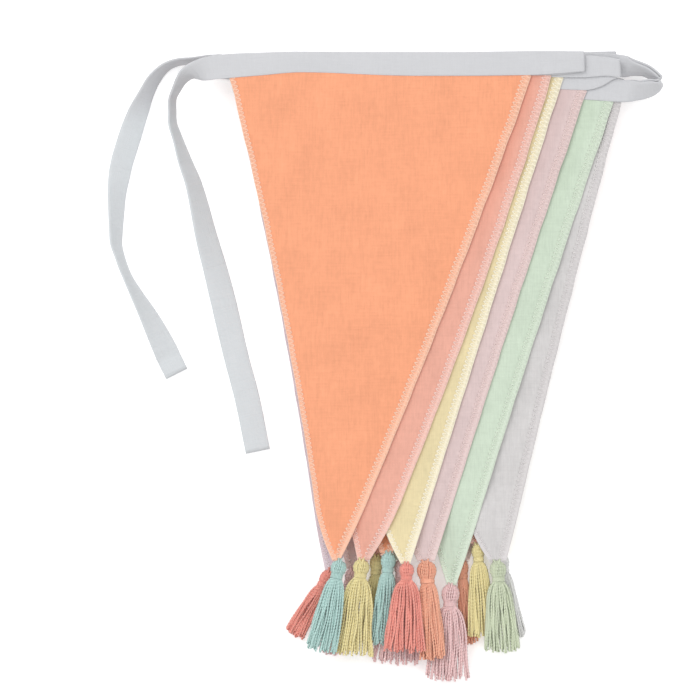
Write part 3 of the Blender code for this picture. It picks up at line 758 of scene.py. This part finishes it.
def overlock_tree():
    """Overlock along a border line: slanted loops over the edge and a cord along it.

    Inward points from the border into the cloth and reach is how deep the stitches go.
    """
    tree = Tree("overlock", ("Pitch", "Thread"))
    border = tree.node("GeometryNodeMeshToCurve", {}, {0: tree.given("Geometry")})
    resample = {"Curve": border, "Length": tree.given("Pitch")}
    stitched = tree.node("GeometryNodeResampleCurve", {"mode": "LENGTH"}, resample)
    inward = tree.stored("inward", "FLOAT_VECTOR")
    reach = tree.node("ShaderNodeVectorMath", {"operation": "LENGTH"}, {0: inward}, "Value")
    along = tree.node("GeometryNodeInputTangent", {}, {})
    turn = tree.node("FunctionNodeAlignRotationToVector", {"axis": "X"}, {"Vector": along})
    towards = {"Rotation": turn, "Vector": inward}
    turn = tree.node("FunctionNodeAlignRotationToVector", {"axis": "Y", "pivot_axis": "X"}, towards)
    pitch = tree.given("Pitch")
    thread = tree.given("Thread")
    loop = {
        "Resolution": 8,
        "Start": vector(tree, pitch, -0.52, -0.02, 0.0),
        "Middle": vector(tree, pitch, 0.30, 2.0, 0.34),
        "End": vector(tree, pitch, 0.46, -0.02, 0.02),
    }
    stitch = tree.node("GeometryNodeCurveQuadraticBezier", {}, loop)
    ring = tree.node("GeometryNodeCurvePrimitiveCircle", {}, {"Resolution": 4, "Radius": thread})
    stitch = tree.node("GeometryNodeCurveToMesh", {}, {"Curve": stitch, "Profile Curve": ring})
    size = tree.node("ShaderNodeCombineXYZ", {}, {0: 1.0, 1: tree.sum("DIVIDE", reach, pitch), 2: 1.0})
    placing = {"Points": stitched, "Instance": stitch, "Rotation": turn, "Scale": size}
    loops = tree.node("GeometryNodeInstanceOnPoints", {}, placing)
    cord = tree.node("GeometryNodeCurveToMesh", {}, {"Curve": border, "Profile Curve": ring})
    whole = tree.node("GeometryNodeJoinGeometry", {}, {0: [loops, cord]})
    whole = tree.node("GeometryNodeRealizeInstances", {}, {"Geometry": whole})
    tree.end(tree.node("GeometryNodeSetShadeSmooth", {}, {"Geometry": whole}))
    return tree


def vector(tree, size, x, y, z):
    """A vector whose parts are shares of a size."""
    return tree.node("ShaderNodeVectorMath", {"operation": "SCALE"}, {0: (x, y, z), "Scale": size})


def line_piece(name, lines, shift):
    """A mesh of open lines with their thickness and twist phase, for the trees."""
    points, edges, sizes, phases = [], [], [], []
    for number, (places, size) in enumerate(lines):
        first = len(points)
        points += [((p[0] + shift[0]) * MM, (p[1] + shift[1]) * MM, p[2] * MM) for p in places]
        edges += [(i, i + 1) for i in range(first, len(points) - 1)]
        sizes += [size] * len(places)
        phases += [2.4 * number] * len(places)
    mesh = bpy.data.meshes.new(name)
    mesh.from_pydata(points, edges, [])
    for label, values in (("size", sizes), ("phase", phases)):
        mesh.attributes.new(label, "FLOAT", "POINT").data.foreach_set("value", values)
    made = bpy.data.objects.new(name, mesh)
    bpy.context.scene.collection.objects.link(made)
    return made


def make_tape(sections, shift, material):
    """The whole tape, with its soft edges and the slit of its open side."""
    points, along, lengths = [], 0.0, []
    for i, section in enumerate(sections):
        if i:
            along += (section.centre - sections[i - 1].centre).length
        points += profile_points(section, along)
        lengths.append(along)
    round_it = len(TAPE_PROFILE)
    tape = piece("folded_tape", points, tube_faces(len(sections), round_it), shift)
    layer = tape.data.uv_layers.new(name="Length")
    for loop in tape.data.loops:
        section, corner = divmod(loop.vertex_index, round_it)
        side = TAPE_PROFILE[corner].edge * (TAPE_WIDTH / 2 - TAPE_PROFILE[corner].inset)
        layer.data[loop.index].uv = (side * MM, lengths[section] * MM)
    turn_outwards(tape)
    tape.data.materials.append(material)
    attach(tape, "root")
    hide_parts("tape")


def lower_edge(sections, x):
    """The y of the tape's lower edge over x, along one run."""
    edge = sorted((s.centre - s.across * s.width / 2).to_tuple() for s in sections if abs(s.across.y) > 0.95)
    return float(np.interp(x, [p[0] for p in edge], [p[1] for p in edge]))


def pennant_plan(cloth, sections):
    """The sheet's points seen from above, rows down from the tape and columns to the right."""
    tip = Vector((cloth.tip_x, cloth.tip_y))
    plan = np.zeros((ROWS_DOWN + 1, CELLS_ACROSS + 1, 2))
    for row in range(ROWS_DOWN + 1):
        down = 1 - (1 - row / ROWS_DOWN) ** ROW_CROWDING
        bow = 4 * down * (1 - down)
        cut = max(0.0, (down - TIP_START) / (1 - TIP_START))
        for column in range(CELLS_ACROSS + 1):
            over = column / CELLS_ACROSS
            top_x = cloth.left_x + (cloth.right_x - cloth.left_x) * over
            top = Vector((top_x, lower_edge(sections, top_x) - CLEAR))
            shoulder = cloth.right_shoulder * over - cloth.left_shoulder * (1 - over)
            point = top.lerp(tip + Vector((shoulder, 0.0)), down)
            point.x += bow * (cloth.bow_left * (1 - over) + cloth.bow_right * over)
            point.x += cut * ((over - 0.5) * cloth.tip_width - shoulder)
            plan[row, column] = point
    return plan


def solid_tops(node, plan, shift):
    """The height of a solid's upper side at the points of its plan."""
    points = np.array([vert.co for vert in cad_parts[node].data.vertices]) / MM
    tops = np.zeros(plan.shape[:2])
    for place in np.ndindex(tops.shape):
        off = np.hypot(*(points[:, :2] - plan[place] - shift).T)
        tops[place] = points[off < off.min() + 0.2, 2].max()
    return tops


def finer(values, count):
    """Values on a smooth curve through the rows of a table, with count steps for each gap."""
    padded = np.concatenate([2 * values[:1] - values[1:2], values, 2 * values[-1:] - values[-2:-1]])
    rows = []
    for i in range(1, len(values)):
        before, start, end, after = padded[i - 1 : i + 3]
        for t in np.arange(count) / count:
            squared = (2 * before - 5 * start + 4 * end - after) * t**2
            cubed = (3 * (start - end) - before + after) * t**3
            rows.append((2 * start + (end - before) * t + squared + cubed) / 2)
    rows.append(values[-1])
    return np.array(rows)


def pennant_surface(number, run, shift):
    """The middle of a pennant's cloth as a fine grid of points, from its tape to its tip."""
    cloth = PENNANTS[number - 1]
    plan = pennant_plan(cloth, run)
    tops = solid_tops(f"pennant_{number:02d}", plan, shift)
    grid = finer(np.dstack([plan, tops - CLOTH_RISE]), FINE_DOWN)
    grid = finer(grid.transpose(1, 0, 2), FINE_ACROSS).transpose(1, 0, 2)
    rows, columns = grid.shape[:2]
    down = np.arange(rows)[:, None] / rows
    over = np.linspace(-1.0, 1.0, columns)[None, :]
    edge = np.abs(over) ** 6
    ripple = np.sin(60.0 * down + 1.7 * number + 2.0 * over) + 0.6 * np.sin(113.0 * down - number)
    grid[:, :, 0] += EDGE_RIPPLE * ripple * edge * (1 - down)
    swell = np.sin(9.0 * down + number) * np.sin(4.0 * over + 2.0 * number) + np.sin(17.0 * down - 3.0 * over)
    grid[:, :, 2] += CLOTH_SWELL * swell * (1 - down)
    tuck = grid[:1].copy()
    tuck[:, :, 1] += TUCK
    tuck[:, :, 2] = run_clear(number) + TAPE_THICK / 2
    return np.concatenate([tuck, grid])


def cloth_faces(rows, columns):
    """The faces of a closed sheet: its underside, its upper side and the rim between them."""
    side = rows * columns
    faces = []
    for r in range(rows - 1):
        for c in range(columns - 1):
            a = r * columns + c
            faces.append((a, a + 1, a + columns + 1, a + columns))
            faces.append((a + side, a + side + columns, a + side + columns + 1, a + side + 1))
    rim = list(range(columns))
    rim += [r * columns + columns - 1 for r in range(1, rows)]
    rim += [(rows - 1) * columns + c for c in range(columns - 2, -1, -1)]
    rim += [r * columns for r in range(rows - 2, 0, -1)]
    for a, b in zip(rim, rim[1:] + rim[:1]):
        faces.append((a, a + side, b + side, b))
    return faces


def make_pennant(number, run, shift, materials, overlock):
    """One pennant: its cloth and the overlock along its two long sides."""
    cloth = PENNANTS[number - 1]
    grid = pennant_surface(number, run, shift)
    rows, columns = grid.shape[:2]
    half = np.array((0.0, 0.0, CLOTH_THICK / 2))
    points = np.concatenate([(grid - half).reshape(-1, 3), (grid + half).reshape(-1, 3)])
    sheet = piece(f"pennant_{number:02d}_cloth", points, cloth_faces(rows, columns), shift)
    from_left = np.linalg.norm(grid - grid[:, :1], axis=2).ravel()
    from_right = np.linalg.norm(grid - grid[:, -1:], axis=2).ravel()
    layer = sheet.data.uv_layers.new(name="Sides")
    for loop in sheet.data.loops:
        place = loop.vertex_index % len(from_left)
        layer.data[loop.index].uv = (from_left[place] * MM, from_right[place] * MM)
    turn_outwards(sheet)
    sheet.data.materials.append(materials[cloth.colour])
    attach(sheet, "root")
    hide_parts(f"pennant_{number:02d}")
    width = (cloth.right_x - cloth.left_x) * MM
    length = float(np.linalg.norm(np.diff(grid[:, columns // 2], axis=0), axis=1).sum()) * MM
    stitching = make_overlock(number, grid[1:], shift, materials[cloth.colour + " thread"], overlock)
    area = (width + cloth.tip_width * MM) / 2 * length


def make_overlock(number, grid, shift, material, overlock):
    """The stitches along the left and right side of a pennant, as one piece."""
    sides = []
    for label, border, inner, reach in (
        ("left", grid[:, 0], grid[:, 1], LEFT_STITCH),
        ("right", grid[:, -1], grid[:, -2], RIGHT_STITCH),
    ):
        inward = inner - border
        depth = np.minimum(reach, 0.5 * np.linalg.norm(grid[:, 0] - grid[:, -1], axis=1))
        if label == "right":
            border, inward, depth = border[::-1], inward[::-1].copy(), depth[::-1]
        lines = line_piece(f"border_{label}", [(border, 1.0)], shift)
        inward *= (depth / np.linalg.norm(inward, axis=1))[:, None] * MM
        stored = lines.data.attributes.new("inward", "FLOAT_VECTOR", "POINT")
        stored.data.foreach_set("vector", inward.ravel())
        sizes = {"Pitch": STITCH_PITCH * MM, "Thread": THREAD * MM, "Material": material}
        sides.append(overlock.make(lines, f"pennant_{number:02d}_overlock_{label}", sizes))
    stitching = join_pieces(sides, f"pennant_{number:02d}_overlock")
    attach(stitching, "root")
    return stitching


def join_pieces(pieces, name):
    """Join several mesh objects into the first of them."""
    for each in pieces:
        each.select_set(True)
    bpy.context.view_layer.objects.active = pieces[0]
    bpy.ops.object.join()
    pieces[0].select_set(False)
    pieces[0].name = name
    return pieces[0]


class TasselShape:
    """One tassel's places and lines, from its yarn, its pennant's tip and its solid."""

    def __init__(self, number, shift):
        self.yarn, self.cloth = TASSELS[number - 1], PENNANTS[number - 1]
        yarn = self.yarn
        self.tip = Vector((self.cloth.tip_x + yarn.hang, self.cloth.tip_y, 0.0))
        end = Vector((yarn.end_x, yarn.end_y, 0.0))
        self.along = (end - self.tip).normalized()
        self.across = Vector((-self.along.y, self.along.x, 0.0))
        drop = CLEAR / abs(self.along.y) + yarn.head_width * 0.15 * abs(self.along.x)
        crown = self.tip + self.along * drop
        self.neck = crown + self.along * (yarn.head_length + NECK_LENGTH - NECK_RAISE)
        self.crown = crown - self.along * HEAD_OVERLAP
        self.head_length = yarn.head_length + HEAD_OVERLAP
        self.length = (end - self.neck).length
        self.neck_width = yarn.head_width * NECK_SHARE
        solid = np.array([vert.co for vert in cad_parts[f"tassel_{number:02d}"].data.vertices]) / MM
        solid[:, :2] -= shift
        reach = (solid - np.array(self.crown)) @ np.array(self.along)
        head = solid[reach < yarn.head_length * 0.8, 2]
        self.head_z = (head.min() + head.max()) / 2
        self.skirt_z = solid[reach > yarn.head_length + 0.7 * self.length, 2].min()

    def round_head(self, down, angle, wide, inset, shrink=1.0):
        """A place round the head, some way inside its outline, at a share of the head's length."""
        middle = self.crown + self.along * (self.head_length * down) + UP * self.head_z
        side = math.cos(angle) * (self.yarn.head_width * wide / 2 - inset) * shrink
        tall = math.sin(angle) * (HEAD_HEIGHT * wide / 2 - inset) * shrink
        return middle + self.across * side + UP * tall

    def skirt_line(self, layer, number, chance):
        """A loose strand. The lowest layer is the first, and a layer's strands go across the skirt."""
        level = (layer + 0.5) / SKIRT_LAYERS
        place = (number + 0.5 + chance.uniform(-STRAND_SHIFT, STRAND_SHIFT)) / STRANDS_ACROSS - 0.5
        reach = self.length + chance.uniform(*STRAND_ENDS) - END_CURVE * place * place
        distance = np.arange(0.0, reach, YARN_STEP)
        share = distance / self.length
        opened = SHOULDER_SHARE * (1 - np.exp(-share / SHOULDER_REACH)) + (1 - SHOULDER_SHARE) * share
        wide = self.neck_width + (self.yarn.spread - self.neck_width) * opened
        phase, bend = chance.uniform(0.0, 6.3), chance.uniform(0.2, 0.9)
        swing = bend * np.sin(distance / chance.uniform(5.0, 11.0) + phase)
        swing += chance.normal(0.0, 0.8) * share
        side = place * (wide - YARN) * 1.02 + swing * np.clip(share * 2.5, 0, 1)
        settle = np.clip(share / SETTLE_SHARE, 0.0, 1.0)
        settle = settle * settle * (3 - 2 * settle)
        start_z = self.head_z + (level - 0.5) * NECK_HEIGHT * math.sqrt(1 - 3.2 * place * place)
        lift = chance.uniform(-0.2, 0.35) + 0.3 * np.sin(distance / 7.0 + phase)
        lowest = self.skirt_z + YARN
        end_z = lowest + level * SKIRT_DEPTH * (1 - 1.2 * place * place) + lift * (layer > 0)
        z = start_z + (np.maximum(end_z, lowest) - start_z) * settle
        start, along, across = self.neck, self.along, self.across
        places = [start + along * d + across * s + UP * h for d, s, h in zip(distance, side, z)]
        return places, chance.uniform(*STRAND_SIZES)

    def head_line(self, number, chance):
        """A strand over the head, from its crown to below the neck."""
        turn = 2 * math.pi * (number + chance.uniform(-0.2, 0.2)) / HEAD_STRANDS
        places = []
        for down in np.arange(BULB[0].down, BULB[-1].down + 0.01, YARN_STEP / self.head_length):
            wide = np.interp(down, [b.down for b in BULB], [b.wide for b in BULB])
            places.append(self.round_head(down, turn + HEAD_TWIST * down, wide, 0.6 * YARN))
        return places, HEAD_STRAND_SIZE

    def binding_line(self):
        """The yarn wound round the neck."""
        places = []
        for angle in np.arange(0.0, 2 * math.pi * NECK_TURNS, BINDING_STEP):
            place = self.neck - self.along * (NECK_LENGTH * (1 - angle / (2 * math.pi * NECK_TURNS)))
            side = self.across * (math.cos(angle) * (self.neck_width / 2 + BINDING_OUT))
            tall = UP * (self.head_z + math.sin(angle) * (NECK_HEIGHT / 2 + BINDING_OUT))
            places.append(place + side + tall)
        return places, BINDING_SIZE

    def tip_thread(self, side):
        """One of the threads that hold the crown to the pennant's tip."""
        foot = self.tip + self.across * (side * self.cloth.tip_width) - self.along * 1.1
        top = self.crown + self.across * (side * self.yarn.head_width * 0.3) + self.along * 1.6
        foot_z, top_z = self.head_z + 0.4, self.head_z + HEAD_HEIGHT * 0.36
        places = []
        for t in np.linspace(0.0, 1.0, 9):
            rise = foot_z + (top_z - foot_z) * t + 0.7 * math.sin(math.pi * t)
            places.append(foot.lerp(top, t) + UP * rise)
        return places, TIP_THREAD_SIZE

    def core(self, name, shift):
        """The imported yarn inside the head, so that no gap shows between its strands."""
        points = []
        for down, wide in BULB:
            for side in range(CORE_SIDES):
                angle = 2 * math.pi * side / CORE_SIDES
                points.append(self.round_head(0.04 + 0.92 * down, angle, wide, YARN, CORE_SHRINK))
        core = piece(name, points, tube_faces(len(BULB), CORE_SIDES), shift)
        turn_outwards(core)
        return core


def make_tassel(number, shift, materials, yarn_maker):
    """One tassel: strands over the head, the bound neck, the skirt and the threads to the cloth."""
    shape, yarn = TasselShape(number, shift), TASSELS[number - 1]
    chance = np.random.default_rng(number)
    order = np.ndindex(SKIRT_LAYERS, STRANDS_ACROSS)
    lines = [shape.skirt_line(layer, i, chance) for layer, i in order]
    lines += [shape.head_line(i, chance) for i in range(HEAD_STRANDS)]
    lines += [shape.binding_line(), *(shape.tip_thread(side) for side in TIP_THREAD_SIDES)]
    guide = line_piece(f"tassel_lines_{number:02d}", lines, shift)
    sizes = {"Thickness": YARN * MM, "Turns": YARN_TURNS_PER_METRE, "Material": materials[yarn.colour]}
    strands = yarn_maker.make(guide, f"tassel_{number:02d}_strands", sizes)
    core = shape.core(f"tassel_{number:02d}_core", shift)
    core.data.materials.append(materials[yarn.colour])
    tassel = join_pieces([strands, core], f"tassel_{number:02d}_yarn")
    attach(tassel, "root")
    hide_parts(f"tassel_{number:02d}")


def make_floor():
    """The plain pale floor."""
    signs = ((-1, -1), (1, -1), (1, 1), (-1, 1))
    corners = [(x * FLOOR_REACH, y * FLOOR_REACH, -FLOOR_DROP) for x, y in signs]
    floor = piece("floor", corners, [(0, 1, 2, 3)], (0, 0))
    paper = Finish("white floor")
    sockets = {"Base Color": PAPER_WHITE, "Roughness": 1.0, "Specular IOR Level": 0.0}
    sockets.update({"Emission Color": PAPER_WHITE, "Emission Strength": FLOOR_GLOW})
    paper.fill(paper.shader, sockets)
    floor.data.materials.append(paper.material)


def add_light(name, kind, strength, place):
    """A lamp that shines on the origin."""
    lamp = bpy.data.lights.new(name, kind)
    lamp.energy = strength
    light = bpy.data.objects.new(name, lamp)
    light.location = place
    light.rotation_euler = (-Vector(place)).to_track_quat("-Z", "Y").to_euler()
    bpy.context.scene.collection.objects.link(light)
    return lamp


def light_room():
    """Soft light from all round, from two lamps and from a large soft box straight above."""
    world = bpy.data.worlds.new("studio")
    world.use_nodes = True
    background = world.node_tree.nodes["Background"]
    background.inputs["Color"].default_value = WHITE
    background.inputs["Strength"].default_value = SKY_STRENGTH
    bpy.context.scene.world = world
    for lamp in LAMPS:
        add_light(lamp.name, "AREA", lamp.power, lamp.place).size = lamp.size
    add_light("soft box", "SUN", SOFT_BOX_STRENGTH, (0.0, 0.0, 1.0)).angle = SOFT_BOX_ANGLE


def place_camera(shift):
    """The camera, straight above."""
    camera = bpy.data.objects.new("camera", bpy.data.cameras.new("camera"))
    camera.data.sensor_width = SENSOR
    camera.data.lens = SENSOR * (CAMERA_HEIGHT - MIDDLE_HEIGHT) / (FRAME_WIDTH * MM)
    x, y = ((FRAME_MIDDLE[0] + shift[0]) * MM, (FRAME_MIDDLE[1] + shift[1]) * MM)
    camera.location = (x, y, CAMERA_HEIGHT)
    bpy.context.scene.collection.objects.link(camera)
    bpy.context.scene.camera = camera
    bpy.context.scene.view_settings.view_transform = "Standard"


def main():
    for each in bpy.context.selected_objects:
        each.select_set(False)
    runs = tape_runs()
    sections = whole_tape(runs)
    widest = [s.centre + s.across * (s.width * side) for s in sections for side in (-0.5, 0.5)]
    low = np.array(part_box("tape")[0])[:2] / MM
    shift = low - np.array([min(p.x for p in widest), min(p.y for p in widest)])
    make_floor()
    light_room()
    place_camera(shift)
    materials = {name: yarn_finish(name, colour) for name, colour in YARN_DYES.items()}
    for name, dye in DYES.items():
        materials[name] = cloth_finish(name, dye)
        materials[name + " thread"] = thread_finish(name + " thread", dye.thread)
    make_tape(sections, shift, tape_finish("tape cotton"))
    overlock, yarn_maker = overlock_tree(), yarn_tree()
    for number in range(1, len(PENNANTS) + 1):
        make_pennant(number, runs[number - 1], shift, materials, overlock)
        make_tassel(number, shift, materials, yarn_maker)


main()
